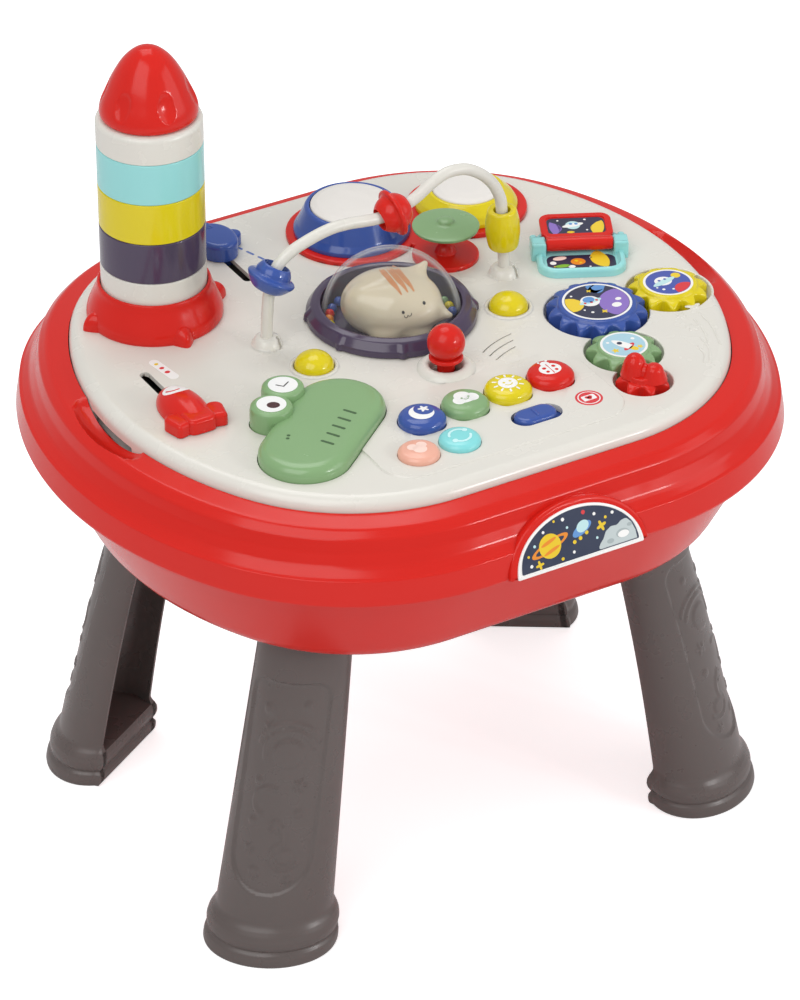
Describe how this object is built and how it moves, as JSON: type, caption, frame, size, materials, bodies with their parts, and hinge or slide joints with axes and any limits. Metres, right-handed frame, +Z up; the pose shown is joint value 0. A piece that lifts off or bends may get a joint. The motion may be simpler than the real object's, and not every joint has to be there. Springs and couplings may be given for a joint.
{
  "type": "musical activity table",
  "caption": "Toddler activity table: lift-out round-cornered board with stacking rocket, bead arch, spinning dome, drums, meshed gears, buttons and flip book on four splayed legs.",
  "frame": {"origin": "on the floor, under the middle of the table", "axes": "+Z up; +X along the table's long side, to the right of a user who sits at -Y"},
  "size_m": [0.4638, 0.4165, 0.512],
  "materials": {
    "red_plastic": "smooth glossy ABS",
    "white_plastic": "satin off-white ABS",
    "purple_plastic": "glossy dark plum ABS",
    "yellow_plastic": "glossy ABS",
    "turquoise_plastic": "glossy pale turquoise ABS",
    "green_plastic": "satin sage green ABS",
    "blue_plastic": "glossy ABS",
    "salmon_plastic": "translucent-looking satin plastic",
    "leg_plastic": "satin warm grey-brown polypropylene",
    "pan_plastic": "plain moulded back",
    "clear_plastic": "clear polystyrene",
    "cat_plastic": "glossy cream with painted marks",
    "ball_plastic": "small mixed-colour balls",
    "badge_print": "printed plate under clear lacquer",
    "soft_pad": "soft white pad",
    "keypad_rubber": "silicone rubber",
    "circuit": "printed circuit board",
    "speaker_black": "paper cone in a steel basket",
    "cell_metal": "wrapped alkaline cells",
    "screw_steel": "zinc-plated steel"
  },
  "bodies": {
    "table": {"lower_tub": "red_plastic", "rim_shell": "red_plastic", "front_badge": "badge_print", "leg_front_left": "leg_plastic", "leg_front_right": "leg_plastic", "leg_back_left": "leg_plastic", "leg_back_right": "leg_plastic", "leg_screws": "screw_steel"},
    "board": {"top_panel": "white_plastic", "back_pan": "pan_plastic", "battery_box": "pan_plastic", "battery_cells": "cell_metal", "circuit_board": "circuit", "rubber_keypad": "keypad_rubber", "speaker": "speaker_black", "board_screws": "screw_steel", "bead_arch": "white_plastic", "rocket_base": "red_plastic", "drum_plate": "red_plastic", "drum_shell_blue": "blue_plastic", "drum_shell_yellow": "yellow_plastic", "gimbal_frame": "white_plastic", "book_frame": "turquoise_plastic"},
    "spinner": {"dome_ring": "purple_plastic", "clear_dome": "clear_plastic", "turntable": "purple_plastic", "cat_figure": "cat_plastic", "rattle_balls": "ball_plastic"},
    "battery_door": {"battery_door": "pan_plastic"},
    "bead_blue": {"bead_blue": "blue_plastic"},
    "bead_red": {"bead_red": "red_plastic"},
    "bead_yellow": {"bead_yellow": "yellow_plastic"},
    "ring_white_bottom": {"ring_white_bottom": "white_plastic"},
    "ring_purple": {"ring_purple": "purple_plastic"},
    "ring_yellow": {"ring_yellow": "yellow_plastic"},
    "ring_turquoise": {"ring_turquoise": "turquoise_plastic"},
    "ring_white_top": {"ring_white_top": "white_plastic"},
    "nose_cone": {"nose_cone": "red_plastic"},
    "drum_pad_blue": {"drum_pad_blue": "soft_pad"},
    "drum_pad_yellow": {"drum_pad_yellow": "soft_pad"},
    "cymbal": {"cymbal": "green_plastic"},
    "joystick": {"joystick": "red_plastic"},
    "joystick_gimbal": {"joystick_gimbal": "white_plastic"},
    "dome_button_left": {"dome_button_left": "yellow_plastic"},
    "dome_button_right": {"dome_button_right": "yellow_plastic"},
    "frog_pad": {"frog_pad": "green_plastic"},
    "button_blue": {"button_blue": "blue_plastic"},
    "button_green": {"button_green": "green_plastic"},
    "button_yellow": {"button_yellow": "yellow_plastic"},
    "button_red": {"button_red": "red_plastic"},
    "button_salmon": {"button_salmon": "salmon_plastic"},
    "button_cyan": {"button_cyan": "turquoise_plastic"},
    "slide_switch": {"slide_switch": "blue_plastic"},
    "slider_red": {"slider_red": "red_plastic"},
    "slider_blue": {"slider_blue": "blue_plastic"},
    "gear_blue": {"gear_blue": "blue_plastic"},
    "gear_yellow": {"gear_yellow": "yellow_plastic"},
    "gear_green": {"gear_green": "green_plastic"},
    "gear_red": {"gear_red": "red_plastic"},
    "book_page": {"book_page": "red_plastic"}
  },
  "joints": [
    {"name": "board_lift", "type": "slide", "parent": "table", "child": "board", "axis": [0, 0, 1], "range_m": [0, 0.09]},
    {"name": "ring_white_bottom_lift", "type": "slide", "parent": "board", "child": "ring_white_bottom", "axis": [0, 0, 1], "range_m": [0, 0.03]},
    {"name": "ring_purple_lift", "type": "slide", "parent": "ring_white_bottom", "child": "ring_purple", "axis": [0, 0, 1], "range_m": [0, 0.03]},
    {"name": "ring_yellow_lift", "type": "slide", "parent": "ring_purple", "child": "ring_yellow", "axis": [0, 0, 1], "range_m": [0, 0.03]},
    {"name": "ring_turquoise_lift", "type": "slide", "parent": "ring_yellow", "child": "ring_turquoise", "axis": [0, 0, 1], "range_m": [0, 0.03]},
    {"name": "ring_white_top_lift", "type": "slide", "parent": "ring_turquoise", "child": "ring_white_top", "axis": [0, 0, 1], "range_m": [0, 0.03]},
    {"name": "nose_cone_lift", "type": "slide", "parent": "ring_white_top", "child": "nose_cone", "axis": [0, 0, 1], "range_m": [0, 0.03]},
    {"name": "bead_blue_slide", "type": "slide", "parent": "board", "child": "bead_blue", "axis": [-0.13, 0, -0.9915], "range_m": [0, 0.02]},
    {"name": "bead_yellow_slide", "type": "slide", "parent": "board", "child": "bead_yellow", "axis": [0.045, 0, -0.999], "range_m": [0, 0.011]},
    {"name": "bead_red_spin", "type": "hinge", "parent": "board", "child": "bead_red", "pos_m": [0.008, 0.021, 0.3958], "axis": [0.9703, 0, 0.2419], "continuous": true},
    {"name": "drum_pad_blue_press", "type": "slide", "parent": "board", "child": "drum_pad_blue", "axis": [0, 0, -1], "range_m": [0, 0.0015], "stiffness_N_per_m": 900, "springref_m": -0.001},
    {"name": "drum_pad_yellow_press", "type": "slide", "parent": "board", "child": "drum_pad_yellow", "axis": [0, 0, -1], "range_m": [0, 0.0015], "stiffness_N_per_m": 900, "springref_m": -0.001},
    {"name": "cymbal_spin", "type": "hinge", "parent": "board", "child": "cymbal", "pos_m": [0.0668, 0.0575, 0.35], "axis": [0, 0, 1], "continuous": true},
    {"name": "spinner_spin", "type": "hinge", "parent": "board", "child": "spinner", "pos_m": [0.002, 0.013, 0.33], "axis": [0, 0, 1], "continuous": true},
    {"name": "gimbal_tilt", "type": "hinge", "parent": "board", "child": "joystick_gimbal", "pos_m": [-0.0013, -0.0575, 0.318], "axis": [0, 1, 0], "range_deg": [-9, 9], "stiffness_Nm_per_rad": 0.05},
    {"name": "joystick_tilt", "type": "hinge", "parent": "joystick_gimbal", "child": "joystick", "pos_m": [-0.0013, -0.0575, 0.318], "axis": [1, 0, 0], "range_deg": [-9, 9], "stiffness_Nm_per_rad": 0.05},
    {"name": "dome_button_left_press", "type": "slide", "parent": "board", "child": "dome_button_left", "axis": [0, 0, -1], "range_m": [0, 0.0025], "stiffness_N_per_m": 300, "springref_m": -0.001},
    {"name": "dome_button_right_press", "type": "slide", "parent": "board", "child": "dome_button_right", "axis": [0, 0, -1], "range_m": [0, 0.0025], "stiffness_N_per_m": 300, "springref_m": -0.001},
    {"name": "frog_pad_press", "type": "slide", "parent": "board", "child": "frog_pad", "axis": [0, 0, -1], "range_m": [0, 0.0025], "stiffness_N_per_m": 600, "springref_m": -0.001},
    {"name": "button_blue_press", "type": "slide", "parent": "board", "child": "button_blue", "axis": [0, 0, -1], "range_m": [0, 0.0025], "stiffness_N_per_m": 300, "springref_m": -0.001},
    {"name": "button_green_press", "type": "slide", "parent": "board", "child": "button_green", "axis": [0, 0, -1], "range_m": [0, 0.0025], "stiffness_N_per_m": 300, "springref_m": -0.001},
    {"name": "button_yellow_press", "type": "slide", "parent": "board", "child": "button_yellow", "axis": [0, 0, -1], "range_m": [0, 0.0025], "stiffness_N_per_m": 300, "springref_m": -0.001},
    {"name": "button_red_press", "type": "slide", "parent": "board", "child": "button_red", "axis": [0, 0, -1], "range_m": [0, 0.0025], "stiffness_N_per_m": 300, "springref_m": -0.001},
    {"name": "button_salmon_press", "type": "slide", "parent": "board", "child": "button_salmon", "axis": [0, 0, -1], "range_m": [0, 0.0025], "stiffness_N_per_m": 250, "springref_m": -0.001},
    {"name": "button_cyan_press", "type": "slide", "parent": "board", "child": "button_cyan", "axis": [0, 0, -1], "range_m": [0, 0.0025], "stiffness_N_per_m": 250, "springref_m": -0.001},
    {"name": "slide_switch_slide", "type": "slide", "parent": "board", "child": "slide_switch", "axis": [1, 0, 0], "range_m": [-0.0017, 0.0037]},
    {"name": "slider_red_slide", "type": "slide", "parent": "board", "child": "slider_red", "axis": [0, 1, 0], "range_m": [0, 0.045]},
    {"name": "slider_blue_slide", "type": "slide", "parent": "board", "child": "slider_blue", "axis": [0, -1, 0], "range_m": [0, 0.033]},
    {"name": "gear_blue_spin", "type": "hinge", "parent": "board", "child": "gear_blue", "pos_m": [0.1125, -0.0458, 0.326], "axis": [0, 0, 1], "continuous": true},
    {"name": "gear_yellow_spin", "type": "hinge", "parent": "board", "child": "gear_yellow", "pos_m": [0.16375, -0.04607, 0.326], "axis": [0, 0, 1], "continuous": true},
    {"name": "gear_green_spin", "type": "hinge", "parent": "board", "child": "gear_green", "pos_m": [0.10143, -0.09374, 0.326], "axis": [0, 0, 1], "continuous": true},
    {"name": "gear_red_spin", "type": "hinge", "parent": "board", "child": "gear_red", "pos_m": [0.09353, -0.12768, 0.326], "axis": [0, 0, 1], "continuous": true},
    {"name": "book_page_turn", "type": "hinge", "parent": "board", "child": "book_page", "pos_m": [0.1388, 0.0166, 0.3385], "axis": [0.8996, -0.4368, 0], "range_deg": [0, 168]},
    {"name": "battery_door_open", "type": "hinge", "parent": "board", "child": "battery_door", "pos_m": [-0.06, -0.0019, 0.2851], "axis": [1, 0, 0], "range_deg": [-60, 0]}
  ],
  "couplings": [
    {"joint": "gear_yellow_spin", "follows": "gear_blue_spin", "ratio": -1.2727},
    {"joint": "gear_green_spin", "follows": "gear_blue_spin", "ratio": -1.4},
    {"joint": "gear_red_spin", "follows": "gear_blue_spin", "ratio": 2}
  ]
}
